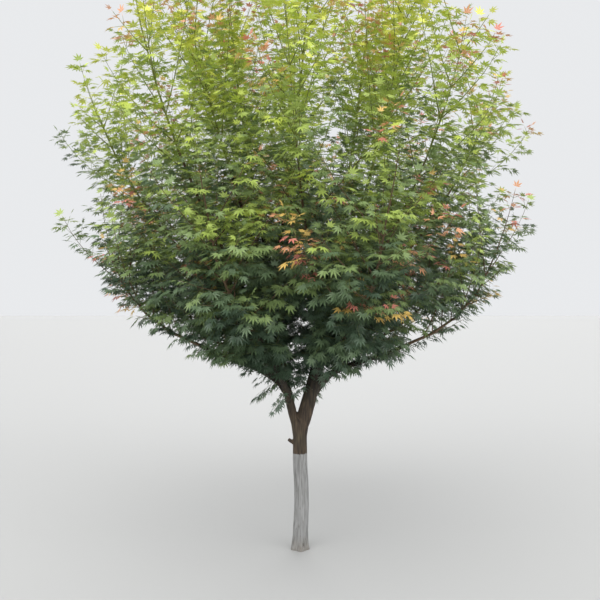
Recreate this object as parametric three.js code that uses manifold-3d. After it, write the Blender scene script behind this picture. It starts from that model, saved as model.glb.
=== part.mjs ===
// A nursery-grown Japanese maple in summer leaf: a short straight trunk that forks low, long
// boughs that spread like a vase, and foliage in masses of opposite twigs with palmate leaves.
// Millimetres, +Z up. The origin is the middle of the flat cut under the trunk, at ground level.
// +X is to the viewer's right and +Y is away from the viewer. Azimuths turn from +X to +Y.

import * as THREE from "three";
import { mergeVertices } from "three/addons/utils/BufferGeometryUtils.js";
import Module from "manifold-3d";

const wasm = await Module();
wasm.setup();

// Driving dimensions
const CROWN = {
  top: 3740,
  widest: 2480,
  foot: 1080, // the lowest leaves
  radius: 1600,
  roundness: [1.8, 2], // of the outline below and above the widest height
};
const FORK_HEIGHT = 842;
const CLEAR = 0.3; // gap between pieces that touch

const TRUNK = {
  radiusLow: 47,
  radiusHigh: 44,
  flare: 11, // added at the ground
  flareFade: 55, // height over which the flare dies away
  flutes: 5, // root ridges round the foot
  fluteDepth: 0.5, // share of the flare
  swellFrom: 700, // the trunk widens along X from here to the fork
  swellShare: 0.42,
  bow: [10, 620], // how far the axis bows to the right, and the height where the bow ends
  ringHeights: [0, 14, 36, 75, 150, 260, 390, 520, 630, 710, 765, 806, 832, FORK_HEIGHT],
  crownRings: { 832: 0.86, [FORK_HEIGHT]: 0.55 }, // the top rounds over between the limbs
  sides: 12,
};
const STUB = { foot: [-20, -6, 655], tip: [-74, -14, 692], radii: [14, 11], sides: 6 };

// The two limbs of the fork. Angles are from the vertical.
const FORKS = [
  {
    name: "main",
    foot: [1, 3, 752],
    tip: [285, 70, 2190],
    azimuth: 8,
    leave: 18,
    arrive: 9,
    radii: [50, 13],
  },
  {
    name: "left",
    foot: [-14, -3, 742],
    tip: [-250, -45, 2070],
    azimuth: 186,
    leave: 17,
    arrive: 11,
    radii: [29, 12],
  },
];
const FORK_STEPS = 10;
const FORK_SIDES = 8;

// Rings of boughs. from is where they leave their fork limb, as shares of its length, reach is
// how far out the tip lies from the trunk's axis, and tip is its height.
const RINGS = [
  {
    name: "low",
    count: 8,
    turn: 24,
    from: [0.13, 0.26],
    reach: 640,
    tip: 1360,
    leave: 38,
    arrive: 62,
    radii: [23, 10],
  },
  {
    name: "middle",
    count: 8,
    turn: 2,
    from: [0.32, 0.5],
    reach: 660,
    tip: 1800,
    leave: 42,
    arrive: 38,
    radii: [18, 9],
  },
  {
    name: "high",
    count: 6,
    turn: 28,
    from: [0.6, 0.82],
    reach: 480,
    tip: 2290,
    leave: 34,
    arrive: 20,
    radii: [12, 8],
  },
  {
    name: "inner",
    count: 4,
    turn: 46,
    from: [0.18, 0.3],
    reach: 350,
    tip: 1250,
    leave: 50,
    arrive: 66,
    radii: [12, 7],
  },
];
const BOUGH_STEPS = 5;
const BOUGH_SIDES = 6;
const HANDLES = [0.34, 0.38]; // how far a limb keeps its first and last heading, of its span
const JITTER = { azimuth: 6, reach: 0.08, tip: 60, length: 0.1 };

// How foliage grows on from each kind of bough. length is the stem's, lift is how hard it turns
// up, twig is the longest twig, and spread is the twigs' angle from the stem.
const FOLIAGE = {
  low: { length: 760, lift: 0.8, pairs: 5, twig: 400, spread: 54, leaf: 245 },
  middle: { length: 1200, lift: 0.6, pairs: 4, twig: 420, spread: 44, leaf: 250 },
  high: { length: 1080, lift: 0.4, pairs: 4, twig: 420, spread: 38, leaf: 240 },
  inner: { length: 400, lift: 0.6, pairs: 4, twig: 260, spread: 58, leaf: 170 },
  fork: { length: 1200, lift: 0.4, pairs: 4, twig: 420, spread: 36, leaf: 235 },
};
const STEM = { steps: 4, sides: 4, tipRadius: 4.5, firstPair: 0.16, lastPair: 0.9 };
const TWIG = {
  steps: 1,
  sides: 3,
  radii: [7.5, 4.5],
  lift: 0.2, // how far a twig's heading is turned up
  taper: 0.5, // how much shorter the last twigs of a stem are than the first
  jitter: { angle: 9, turn: 16, length: 0.14 },
  fits: [1, 0.78, 0.58, 0.4], // lengths tried before a twig is skipped
  pairFrom: 395, // only a twig of this length has a pair of leaves besides its last leaf
  pairAt: 0.5,
  pairForward: 0.6, // how far the pair leans along the twig
};
const LEAF = {
  fan: 38, // degrees between lobes
  lobes: [1, 0.9, 0.63], // lobe lengths from the middle one outward, as shares of the leaf's size
  notches: [0.44, 0.4],
  foot: 0.17, // how far the root lies behind the heart of the blade
  thickness: 0.036,
  droop: 0.14,
  outward: 0.7, // how much a leaf faces out from the trunk, beside facing up
  lean: 0.4,
  sunk: 12, // how deep a leaf's root lies in a twig's end
  crossed: 3, // how far a leaf's root runs past the axis of a twig that it stands beside
  spacing: 1.0, // hearts stay this share of a leaf apart
  sizeJitter: 0.14,
  fits: [1, 0.82, 0.66], // sizes tried before a leaf is skipped
};
const CELL_MARGIN = 9; // from a leaf to the edge of its mass's own space
const LIMB_MARGIN = 24;
const SEED = 20240;
const GOLDEN = 0.618; // spreads the boughs' feet evenly along a limb
const YOUNG_LEAF_HEIGHT = 2150; // foliage on boughs that end above this is yellow-green

const COLOURS = { coat: 0xb4b9bd, bark: 0x5a4c40, leaf: 0x5f7f36, tipLeaf: 0x93a847 };
const UP = new THREE.Vector3(0, 0, 1);
const radians = THREE.MathUtils.degToRad;
const lerp = THREE.MathUtils.lerp;

// Repeatable numbers from 0 to 1
function seeded(seed) {
  let state = seed % 2147483647;
  return () => {
    state = (state * 16807) % 2147483647;
    return state / 2147483647;
  };
}

const around = (rand, spread) => (2 * rand() - 1) * spread;

// The unit vector at an azimuth and an angle from the vertical, both in degrees
function heading(azimuth, fromVertical) {
  const turn = radians(azimuth);
  const fall = radians(fromVertical);
  return new THREE.Vector3(
    Math.cos(turn) * Math.sin(fall),
    Math.sin(turn) * Math.sin(fall),
    Math.cos(fall),
  );
}

// Solids

function closedGeometry(vertices, triangles) {
  const geometry = new THREE.BufferGeometry();
  const flat = vertices.flatMap((v) => v.toArray());
  geometry.setAttribute("position", new THREE.Float32BufferAttribute(flat, 3));
  geometry.setIndex(triangles);
  return geometry;
}

function solidOf(geometry) {
  const merged = mergeVertices(geometry, 1e-3);
  return new wasm.Manifold(
    new wasm.Mesh({
      numProp: 3,
      vertProperties: new Float32Array(merged.attributes.position.array),
      triVerts: new Uint32Array(merged.index.array),
    }),
  );
}

// The largest body of a cut or joined solid, without loose scraps or sealed hollows
function mainBody(solid) {
  return solid.decompose().reduce((a, b) => (b.volume() > a.volume() ? b : a));
}

function joined(solids) {
  return mainBody(solids.reduce((whole, next) => whole.add(next)));
}

function meshOf(name, solid, colour) {
  const surface = solid.getMesh();
  const geometry = new THREE.BufferGeometry();
  geometry.setAttribute("position", new THREE.BufferAttribute(surface.vertProperties, 3));
  geometry.setIndex(new THREE.BufferAttribute(surface.triVerts, 1));
  geometry.computeVertexNormals();
  const material = new THREE.MeshStandardMaterial({ color: colour, roughness: 0.8, metalness: 0 });
  const mesh = new THREE.Mesh(geometry, material);
  mesh.name = name;
  return mesh;
}

// Skins rings of equal counts into a closed solid with flat ends
function skin(rings) {
  const sides = rings[0].length;
  const triangles = [];
  for (let r = 0; r + 1 < rings.length; r++) {
    for (let s = 0; s < sides; s++) {
      const next = (s + 1) % sides;
      const low = r * sides;
      const high = low + sides;
      triangles.push(low + s, low + next, high + next, low + s, high + next, high + s);
    }
  }
  const last = (rings.length - 1) * sides;
  for (let s = 1; s + 1 < sides; s++) {
    triangles.push(0, s + 1, s, last, last + s, last + s + 1);
  }
  return solidOf(closedGeometry(rings.flat(), triangles));
}

// A limb is a line of points with a radius at each, and its number of sides

function directionAt(points, i) {
  const before = points[Math.max(i - 1, 0)];
  const after = points[Math.min(i + 1, points.length - 1)];
  return after.clone().sub(before).normalize();
}

function tube(limb, grow = 0) {
  const { points, radii, sides } = limb;
  const outward = grow / Math.cos(Math.PI / sides);
  const first = directionAt(points, 0);
  let across = new THREE.Vector3(-first.y, first.x, 0);
  if (across.length() < 0.1) across.set(1, 0, 0);
  const rings = points.map((point, i) => {
    const along = directionAt(points, i);
    across = across.clone().addScaledVector(along, -across.dot(along)).normalize();
    const other = along.clone().cross(across);
    return Array.from({ length: sides }, (_, s) => {
      const angle = (2 * Math.PI * s) / sides;
      return point
        .clone()
        .addScaledVector(across, (radii[i] + outward) * Math.cos(angle))
        .addScaledVector(other, (radii[i] + outward) * Math.sin(angle));
    });
  });
  return skin(rings);
}

function taper(from, to, steps) {
  return Array.from({ length: steps + 1 }, (_, i) => lerp(from, to, i / steps));
}

// A limb that leaves its foot and reaches its tip at given headings
function archedLimb(name, foot, tip, leave, arrive, radii, steps, sides) {
  const span = foot.distanceTo(tip);
  const curve = new THREE.CubicBezierCurve3(
    foot,
    foot.clone().addScaledVector(leave, span * HANDLES[0]),
    tip.clone().addScaledVector(arrive, -span * HANDLES[1]),
    tip,
  );
  const points = Array.from({ length: steps + 1 }, (_, i) => curve.getPoint(i / steps));
  return { name, points, radii: taper(...radii, steps), sides };
}

// A shoot that sets out in one direction and turns up as it grows
function risingShoot(start, direction, length, lift, radii, steps, sides) {
  const points = [start];
  for (let i = 0; i < steps; i++) {
    const along = direction.clone().lerp(UP, (lift * i) / steps).normalize();
    points.push(points[i].clone().addScaledVector(along, length / steps));
  }
  return { points, radii: taper(...radii, steps), sides };
}

function pointAlong(points, share) {
  const place = share * (points.length - 1);
  const i = Math.min(Math.floor(place), points.length - 2);
  return points[i].clone().lerp(points[i + 1], place - i);
}

function directionAlong(points, share) {
  const i = Math.min(Math.floor(share * (points.length - 1)), points.length - 2);
  return points[i + 1].clone().sub(points[i]).normalize();
}

// Trunk

function trunkRing(height, grow) {
  const { radiusLow, radiusHigh, flare, flareFade, flutes, fluteDepth, sides } = TRUNK;
  const foot = flare * Math.exp(-height / flareFade);
  const swell = THREE.MathUtils.smoothstep(height, TRUNK.swellFrom, FORK_HEIGHT);
  const round = TRUNK.crownRings[height] ?? 1;
  const [bow, end] = TRUNK.bow;
  const drift = height < end ? bow * Math.sin((Math.PI * height) / end) ** 2 : 0;
  const lift = height === FORK_HEIGHT ? grow : 0;
  return Array.from({ length: sides }, (_, s) => {
    const angle = (2 * Math.PI * s) / sides;
    const ridge = 1 + fluteDepth * Math.cos(flutes * angle + 1);
    const radius = lerp(radiusLow, radiusHigh, height / FORK_HEIGHT) + foot * ridge + grow;
    return new THREE.Vector3(
      drift + radius * round * (1 + TRUNK.swellShare * swell) * Math.cos(angle),
      radius * round * Math.sin(angle),
      height + lift,
    );
  });
}

function trunkSolid(grow = 0) {
  return skin(TRUNK.ringHeights.map((height) => trunkRing(height, grow)));
}

function stubSolid(grow = 0) {
  const points = [STUB.foot, STUB.tip].map((place) => new THREE.Vector3(...place));
  return tube({ points, radii: STUB.radii, sides: STUB.sides }, grow);
}

// Boughs

function forkLimbs() {
  return FORKS.map(({ name, foot, tip, azimuth, leave, arrive, radii }) =>
    archedLimb(
      name,
      new THREE.Vector3(...foot),
      new THREE.Vector3(...tip),
      heading(azimuth, leave),
      heading(azimuth, arrive),
      radii,
      FORK_STEPS,
      FORK_SIDES,
    ),
  );
}

function ringBoughs(ring, forks, rand) {
  const [main, left] = forks;
  return Array.from({ length: ring.count }, (_, k) => {
    const azimuth = ring.turn + (360 * k) / ring.count + around(rand, JITTER.azimuth);
    const reach = ring.reach * (1 + around(rand, JITTER.reach));
    const height = ring.tip + around(rand, JITTER.tip);
    const parent = Math.cos(radians(azimuth)) > -0.1 ? main : left;
    const share = lerp(...ring.from, (k * GOLDEN) % 1);
    const foot = pointAlong(parent.points, share);
    const tip = heading(azimuth, 90).multiplyScalar(reach).setZ(height);
    const out = tip.clone().sub(foot);
    const bearing = THREE.MathUtils.radToDeg(Math.atan2(out.y, out.x));
    return archedLimb(
      `${ring.name}_${k + 1}`,
      foot,
      tip,
      heading(bearing, ring.leave),
      heading(bearing, ring.arrive),
      ring.radii,
      BOUGH_STEPS,
      BOUGH_SIDES,
    );
  });
}

function growBoughs() {
  const rand = seeded(SEED);
  const forks = forkLimbs();
  const rings = RINGS.flatMap((ring) => ringBoughs(ring, forks, rand));
  return [...forks, ...rings];
}

// Every limb is cut clear of the trunk and of the limbs before it
function boughSolids(boughs) {
  const cutters = [trunkSolid(CLEAR), stubSolid(CLEAR)];
  return boughs.map((bough) => {
    const solid = mainBody(cutters.reduce((rest, cutter) => rest.subtract(cutter), tube(bough)));
    cutters.push(tube(bough, CLEAR));
    return solid;
  });
}

// Clearance

// The shortest distance between the segments a-b and c-d
function segmentGap(a, b, c, d) {
  const ab = b.clone().sub(a);
  const cd = d.clone().sub(c);
  const ca = a.clone().sub(c);
  const abab = ab.dot(ab);
  const cdcd = cd.dot(cd);
  const abcd = ab.dot(cd);
  const abca = ab.dot(ca);
  const cdca = cd.dot(ca);
  const slant = abab * cdcd - abcd * abcd;
  const clamp = THREE.MathUtils.clamp;
  let s = slant > 1e-6 ? clamp((abcd * cdca - abca * cdcd) / slant, 0, 1) : 0;
  const t = clamp((abcd * s + cdca) / cdcd, 0, 1);
  s = clamp((abcd * t - abca) / abab, 0, 1);
  return ca.addScaledVector(ab, s).addScaledVector(cd, -t).length();
}

function clearOf(limbs, a, b, radius) {
  return limbs.every(({ points, radii }) =>
    points.slice(1).every((end, i) => {
      const room = radii[i] + radius + LIMB_MARGIN;
      return segmentGap(a, b, points[i], end) > room;
    }),
  );
}

function crownReach(height) {
  const { top, widest, foot, radius, roundness } = CROWN;
  const below = height < widest;
  const share = below ? (widest - height) / (widest - foot) : (height - widest) / (top - widest);
  return share < 1 ? radius * Math.sqrt(1 - share ** roundness[below ? 0 : 1]) : 0;
}

const inCrown = (point) => Math.hypot(point.x, point.y) < crownReach(point.z);

// A mass's own space is what lies nearer to its anchor than to any other mass's anchor
function inCell(point, anchor, anchors) {
  return anchors.every((other) => {
    if (other === anchor) return true;
    const normal = other.clone().sub(anchor).normalize();
    const wall = anchor.clone().add(other).multiplyScalar(0.5);
    return point.clone().sub(wall).dot(normal) < -CELL_MARGIN;
  });
}

// Foliage

function stemOf(bough, rule, rand) {
  const tip = bough.points.at(-1);
  const direction = directionAt(bough.points, bough.points.length - 1);
  const start = tip.clone().addScaledVector(direction, CLEAR);
  const length = rule.length * (1 + around(rand, JITTER.length));
  const radii = [bough.radii.at(-1), STEM.tipRadius];
  return risingShoot(start, direction, length, rule.lift, radii, STEM.steps, STEM.sides);
}

// Directions of a twig at each side of a stem, turned a quarter further at each pair
function twigDirection(along, spread, turn) {
  const level = along.clone().cross(UP).normalize();
  const raised = level.clone().cross(along);
  const side = level.multiplyScalar(Math.cos(turn)).addScaledVector(raised, Math.sin(turn));
  return along
    .clone()
    .multiplyScalar(Math.cos(radians(spread)))
    .addScaledVector(side, Math.sin(radians(spread)));
}

function twigsOf(stem, rule, rand) {
  const { jitter } = TWIG;
  const twigs = [];
  for (let pair = 0; pair < rule.pairs; pair++) {
    const share = lerp(STEM.firstPair, STEM.lastPair, pair / (rule.pairs - 1));
    for (const side of [0, 1]) {
      const spread = rule.spread + around(rand, jitter.angle);
      const turn = radians(90 * pair + 180 * side + around(rand, jitter.turn));
      const shorter = 1 - TWIG.taper * (pair / (rule.pairs - 1));
      const length = rule.twig * shorter * (1 + around(rand, jitter.length));
      const start = pointAlong(stem.points, share);
      const direction = twigDirection(directionAlong(stem.points, share), spread, turn);
      twigs.push({ start, direction: direction.lerp(UP, TWIG.lift).normalize(), length });
    }
  }
  return twigs;
}

function shootOf({ start, direction, length }, fit) {
  return risingShoot(start, direction, length * fit, 0, TWIG.radii, TWIG.steps, TWIG.sides);
}

// A leaf's heart, its sideways axis and its face, for a root point and the way it points
function leafPose(root, along, face, size) {
  const across = along.clone().cross(face).normalize();
  const normal = across.clone().cross(along).normalize();
  const heart = root.clone().addScaledVector(along, LEAF.foot * size);
  return { root, along, across, normal, heart, size };
}

function bladePoint(pose, degrees, share) {
  const far = share * pose.size;
  return pose.heart
    .clone()
    .addScaledVector(pose.along, far * Math.cos(radians(degrees)))
    .addScaledVector(pose.across, far * Math.sin(radians(degrees)))
    .addScaledVector(UP, -LEAF.droop * far * share);
}

// The outline from the root round the five lobes and back, with the lobe tips apart
function leafOutline(pose) {
  const outline = [pose.root];
  const tips = [];
  for (let lobe = -2; lobe <= 2; lobe++) {
    const tip = bladePoint(pose, lobe * LEAF.fan, LEAF.lobes[Math.abs(lobe)]);
    tips.push(tip);
    outline.push(tip);
    if (lobe < 2) {
      const notch = LEAF.notches[lobe === -1 || lobe === 0 ? 0 : 1];
      outline.push(bladePoint(pose, (lobe + 0.5) * LEAF.fan, notch));
    }
  }
  return { outline, tips };
}

function leafSolid(pose) {
  const { outline } = leafOutline(pose);
  const half = (LEAF.thickness * pose.size) / 2;
  const over = pose.heart.clone().addScaledVector(pose.normal, half);
  const under = pose.heart.clone().addScaledVector(pose.normal, -half);
  const count = outline.length;
  const triangles = outline.flatMap((_, i) => {
    const next = (i + 1) % count;
    return [count, next, i, count + 1, i, next];
  });
  return solidOf(closedGeometry([...outline, over, under], triangles));
}

// Leaves face up and outward from the trunk, and lean a little to one side
function leafFace(place, lean) {
  const out = place.clone().setZ(0).normalize();
  return UP.clone().addScaledVector(out, LEAF.outward).add(lean);
}

function leafDraws(rule, rand) {
  return {
    size: rule.leaf * (1 + around(rand, LEAF.sizeJitter)),
    lean: new THREE.Vector3(around(rand, LEAF.lean), around(rand, LEAF.lean), 0),
  };
}

const lengthOf = ({ points }) => points[0].distanceTo(points.at(-1));

// The root at a shoot's end
function endRoot({ points }) {
  const along = directionAlong(points, 1);
  return { root: points.at(-1).clone().addScaledVector(along, -LEAF.sunk), along };
}

// The roots of an opposite pair, which cross the twig from side to side
function pairRoots({ points }) {
  const forward = directionAlong(points, TWIG.pairAt);
  const level = forward.clone().cross(UP).normalize();
  const place = pointAlong(points, TWIG.pairAt);
  return [-1, 1].map((side) => ({
    root: place.clone().addScaledVector(level, -side * LEAF.crossed),
    along: level.clone().multiplyScalar(side).addScaledVector(forward, TWIG.pairForward).normalize(),
  }));
}

function growMass(stem, others, rule, index) {
  const rand = seeded(SEED + 100 * (index + 1));
  const leafRand = seeded(SEED + 7919 * (index + 1));
  const { anchor, anchors, limbs } = others;
  const hearts = [];
  const solids = [tube(stem)];
  const inside = (point) => inCrown(point) && inCell(point, anchor, anchors);

  const roomForShoot = ({ points, radii }) =>
    points.every(inside) &&
    points.slice(1).every((end, i) => clearOf(limbs, points[i], end, radii[0]));

  const roomForLeaf = (pose) => {
    const { tips } = leafOutline(pose);
    return (
      hearts.every((heart) => heart.distanceTo(pose.heart) > LEAF.spacing * pose.size) &&
      [pose.root, ...tips].every(inside) &&
      tips.every((tip) => clearOf(limbs, pose.heart, tip, 0))
    );
  };

  const fittedLeaf = ({ root, along }, { size, lean }) =>
    LEAF.fits
      .map((fit) => leafPose(root, along, leafFace(root, lean), size * fit))
      .find(roomForLeaf);

  const addLeaf = (pose) => {
    hearts.push(pose.heart);
    solids.push(leafSolid(pose));
  };

  const lastLeaf = fittedLeaf(endRoot(stem), leafDraws(rule, leafRand));
  if (lastLeaf) addLeaf(lastLeaf);
  for (const twig of twigsOf(stem, rule, rand)) {
    const draws = leafDraws(rule, leafRand);
    const pairDraws = [leafDraws(rule, leafRand), leafDraws(rule, leafRand)];
    const grown = TWIG.fits
      .map((fit) => shootOf(twig, fit))
      .filter(roomForShoot)
      .map((shoot) => ({ shoot, pose: fittedLeaf(endRoot(shoot), draws) }))
      .find(({ pose }) => pose);
    if (!grown) continue;
    solids.push(tube(grown.shoot));
    addLeaf(grown.pose);
    if (lengthOf(grown.shoot) < TWIG.pairFrom) continue;
    pairRoots(grown.shoot).forEach((root, i) => {
      const pose = fittedLeaf(root, pairDraws[i]);
      if (pose) addLeaf(pose);
    });
  }
  return joined(solids);
}

const ruleFor = (bough) => FOLIAGE[bough.name.split("_")[0]] ?? FOLIAGE.fork;

function growFoliage(boughs) {
  const rand = seeded(SEED + 1);
  const stems = boughs.map((bough) => stemOf(bough, ruleFor(bough), rand));
  const anchors = stems.map((stem) => pointAlong(stem.points, 0.5));
  return boughs.map((bough, i) => {
    const limbs = [...boughs, ...stems.filter((stem) => stem !== stems[i])];
    return growMass(stems[i], { anchor: anchors[i], anchors, limbs }, ruleFor(bough), i);
  });
}

// Assembly

const boughs = growBoughs();
const woody = boughSolids(boughs);
const leafy = growFoliage(boughs);

const tree = new THREE.Group();
tree.add(meshOf("trunk", joined([trunkSolid(), stubSolid()]), COLOURS.coat));
boughs.forEach((bough, i) => {
  const isYoung = bough.points.at(-1).z > YOUNG_LEAF_HEIGHT;
  tree.add(meshOf(`bough_${bough.name}`, woody[i], COLOURS.bark));
  tree.add(meshOf(`foliage_${bough.name}`, leafy[i], isYoung ? COLOURS.tipLeaf : COLOURS.leaf));
});

export default tree;
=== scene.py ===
import math

import bmesh
import bpy
import numpy as np
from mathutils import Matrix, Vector, noise


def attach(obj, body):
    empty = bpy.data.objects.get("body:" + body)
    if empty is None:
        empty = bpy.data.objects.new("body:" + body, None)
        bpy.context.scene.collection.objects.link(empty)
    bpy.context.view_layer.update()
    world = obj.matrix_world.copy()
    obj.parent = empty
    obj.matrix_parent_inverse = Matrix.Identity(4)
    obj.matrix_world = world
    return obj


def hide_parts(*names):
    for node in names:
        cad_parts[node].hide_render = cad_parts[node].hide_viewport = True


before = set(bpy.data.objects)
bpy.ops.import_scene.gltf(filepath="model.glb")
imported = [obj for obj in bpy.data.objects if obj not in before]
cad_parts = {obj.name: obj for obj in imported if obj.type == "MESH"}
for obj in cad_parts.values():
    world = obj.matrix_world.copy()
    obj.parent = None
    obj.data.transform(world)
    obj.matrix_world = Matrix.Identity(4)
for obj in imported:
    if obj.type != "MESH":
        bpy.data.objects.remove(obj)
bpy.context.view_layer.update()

# A nursery-grown Japanese maple in summer leaf: a limewashed trunk, long boughs that spread like
# a vase, and whips of palmate leaves in opposite pairs, deep green inside and pale or salmon at
# the tips. Metres, +Z up, +Y away from the viewer, origin at the middle of the trunk's foot.
# Angles are in degrees: an azimuth from +X to +Y, how a limb leaves and arrives from the vertical,
# a spread from the shoot that carries it, and a turn round that shoot.

CAMERA = {"place": (0.0, -4.07, 1.57), "lens": 38.6, "sensor": 36.0, "sees": 200.0}
SKY = {"colour": (0.945, 0.96, 0.98), "strength": 0.86}
SUNS = {
    "high": {"azimuth": 258, "height": 52, "spread": 70, "strength": 1.45},
    "left": {"azimuth": 222, "height": 12, "spread": 60, "strength": 1.35},
    "right": {"azimuth": 322, "height": 12, "spread": 60, "strength": 1.75},
    "back": {"azimuth": 84, "height": 16, "spread": 60, "strength": 1.4},
}
FLOOR = {"reach": 60.0, "colour": (0.71, 0.71, 0.705), "roughness": 0.9}

# The source's rule for limbs and foliage
CROWN = {"top": 3.74, "widest": 2.48, "foot": 1.08, "radius": 1.60, "roundness": (1.8, 2.0)}
FORK_HEIGHT = 0.842
CLEAR = 0.0003
TRUNK = {
    "radius_low": 0.047,
    "radius_high": 0.044,
    "flare": 0.011,
    "flare_fade": 0.055,
    "flutes": 5,
    "flute_depth": 0.5,
    "swell_from": 0.700,
    "swell_share": 0.42,
    "bow": (0.010, 0.620),
    "dome": 0.050,  # height over which the top rounds off between the limbs
    "dome_share": 0.9,
}
STUB = {"foot": (-0.020, -0.006, 0.655), "tip": (-0.074, -0.014, 0.692), "radii": (0.014, 0.011)}
FORKS = [
    {
        "name": "main",
        "foot": (0.001, 0.003, 0.752), "tip": (0.285, 0.070, 2.190), "radii": (0.050, 0.013),
        "azimuth": 8, "leave": 18, "arrive": 9,
    },
    {
        "name": "left",
        "foot": (-0.014, -0.003, 0.742), "tip": (-0.250, -0.045, 2.070), "radii": (0.029, 0.012),
        "azimuth": 186, "leave": 17, "arrive": 11,
    },
]
# Boughs in rings: from where on their limb, how far out and how high their tips are
RINGS = [
    {
        "name": "low", "count": 8, "turn": 24, "from": (0.13, 0.26), "reach": 0.640, "tip": 1.360,
        "leave": 38, "arrive": 62, "radii": (0.023, 0.010),
    },
    {
        "name": "middle", "count": 8, "turn": 2, "from": (0.32, 0.50), "reach": 0.660, "tip": 1.800,
        "leave": 42, "arrive": 38, "radii": (0.018, 0.009),
    },
    {
        "name": "high", "count": 6, "turn": 28, "from": (0.60, 0.82), "reach": 0.480, "tip": 2.290,
        "leave": 34, "arrive": 20, "radii": (0.012, 0.008),
    },
    {
        "name": "inner", "count": 4, "turn": 46, "from": (0.18, 0.30), "reach": 0.350, "tip": 1.250,
        "leave": 50, "arrive": 66, "radii": (0.012, 0.007),
    },
]
FORK_STEPS = 10
BOUGH_STEPS = 5
HANDLES = (0.34, 0.38)
JITTER = {"azimuth": 6, "reach": 0.08, "tip": 0.060, "length": 0.1}
FOLIAGE = {
    "low": {"length": 0.760, "lift": 0.8, "pairs": 5, "twig": 0.400, "spread": 54},
    "middle": {"length": 1.200, "lift": 0.6, "pairs": 4, "twig": 0.420, "spread": 44},
    "high": {"length": 1.080, "lift": 0.4, "pairs": 4, "twig": 0.420, "spread": 38},
    "inner": {"length": 0.400, "lift": 0.6, "pairs": 4, "twig": 0.260, "spread": 58},
    "fork": {"length": 1.200, "lift": 0.4, "pairs": 4, "twig": 0.420, "spread": 36},
}
STEM = {"steps": 4, "first_pair": 0.16, "last_pair": 0.9}
TWIG = {"steps": 3, "lift": 0.2, "taper": 0.5, "angle": 9, "turn": 16, "length": 0.14}
TWIG_FITS = (1, 0.78, 0.58, 0.4)
DRAWS = {"factor": 16807, "modulus": 2147483647}
SEED = 20240
SEED_STEP = 100  # from one bough to the next
FINE_SEEDS = {"whips": 104729, "sprays": 15485863, "twigs": 32452843, "fork_shoots": 49979687}
GOLDEN = 0.618
MAIN_SIDE = -0.1  # boughs whose azimuth has a larger cosine leave the main limb

# Where a bough leaves its parent: the swelling's reach in radii of the parent, and its widths in
# radii of the bough, at shares of that reach. It ends inside the bough, and its foot is no wider
# than a share of the parent's radius.
SWELLING = {
    "reach": 3.4, "places": (0, 0.4, 1), "widths": (1.25, 1.22, 0.78), "foot_share": 0.85,
    "steps": 8, "sides": 16,
}

# Finer growth on the same limbs. A whip carries a stem or twig on to where the source has a leaf.
WHIP = {"stem": 0.42, "twig": 0.38, "lift": 0.5, "steps": 4, "bend": 0.07, "short": 0.2}
WHIP_FITS = (1, 0.75, 0.5, 0.25)
BETWEEN = {"length": 0.85, "turn": 45}  # twigs between the source's pairs
TWIG_RADII = (0.0036, 0.0011)
# Pairs of side shoots along every stem and twig; spacing and length go from one value to the
# other between the two heights
SPRAY = {
    "heights": (1.7, 2.9), "spacing": (0.064, 0.072), "length": (0.155, 0.090),
    "first": 0.07,  # from the stem's foot
    "last": 0.02,  # from its end
    "taper": 0.7, "shortest": 0.045, "spread": 52, "turn": 22, "droop": 0.12,
    "radii": (0.0013, 0.0007), "jitter": 0.3, "uneven": 0.2,
}
BOUGH_SPRAYS = {
    "steps": 12, "from": 0.46, "spacing": 0.07, "length": 0.18, "spread": 62, "turn": 30,
    "jitter": 0.35, "uneven": 0.25,
}
BOUGH_TWIGS = {
    "fork": {"shares": (0.27, 0.33, 0.40, 0.50, 0.62, 0.76, 0.92), "length": 0.34},
    "low": {"shares": (0.7, 0.9), "length": 0.24},
    "middle": {"shares": (0.5, 0.64, 0.78, 0.92), "length": 0.36},
    "high": {"shares": (0.5, 0.64, 0.78, 0.92), "length": 0.36},
    "inner": {"shares": (0.5, 0.72, 0.92), "length": 0.26},
}
BOUGH_TWIG = {"spread": 50, "turn": 30, "jitter": 0.25}
FORK_SHOOTS = {
    "shares": (0.10, 0.17, 0.25, 0.36), "length": 0.14, "spread": 70, "droop": 0.5, "jitter": 0.4,
    "outside": 0.3,  # they may hang this far below the crown
}
LEAF_PAIRS = {
    "spacing": 0.040, "first": 0.026, "last": 0.03, "spread": 64, "turn": 34, "uneven": 0.2,
}
# Shoots keep inside the crown's outline, and in patches farther: the shift picks the patches
EDGE = 0.035
HOLLOW = {"width": 0.34, "depth": 0.34, "shift": 32.2}
SIDE_LIMIT = 1.48  # on the right, and the top: near the ends of the solids
TOP_LIMIT = 3.62

LEAF = {
    "size": (0.045, 0.041),  # heart to middle tip, at the foot and the top of the crown
    "jitter": 0.2,
    "petiole": 0.45,  # share of the size
    "petiole_width": 0.022,
    "belly": 0.46,  # where a lobe is widest, as a share of its length
    "half_width": 0.13,
    "fold": 0.06,
    "curl": 0.16,
    "lean": 0.45,
    "roughness": 0.42,
}
# A leaf's droop below its twig and its face's lean from the trunk, at the widest part of the
# crown and above, and at a depth below it
HANG = {"depth": 1.3, "droop": (0.12, 0.62), "lean": (0.3, 0.7)}
LEAF_KINDS = {
    "full": ((0, 1.0), (34, 0.95), (68, 0.76), (104, 0.42)),
    "young": ((0, 1.0), (36, 0.86), (70, 0.55)),
}

# Leaf tints as sRGB shares, from the shaded inside of the crown to its tips, then the flush. The
# greens are partly the leaves' own colour, deep in old leaves and pale in young growth, and partly
# painted light and shade: darker inside for the crown's shade, lighter at the top for the glow of
# backlit leaves
GREENS = [
    ("deep", (0.28, 0.355, 0.275)),
    ("shade", (0.365, 0.445, 0.32)),
    ("mid", (0.48, 0.56, 0.345)),
    ("fresh", (0.63, 0.705, 0.35)),
    ("lime", (0.75, 0.81, 0.35)),
    ("yellow", (0.84, 0.86, 0.38)),
]
FLUSH = [
    ("amber", (0.83, 0.70, 0.39)),
    ("peach", (0.86, 0.63, 0.47)),
    ("salmon", (0.83, 0.52, 0.46)),
]
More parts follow.
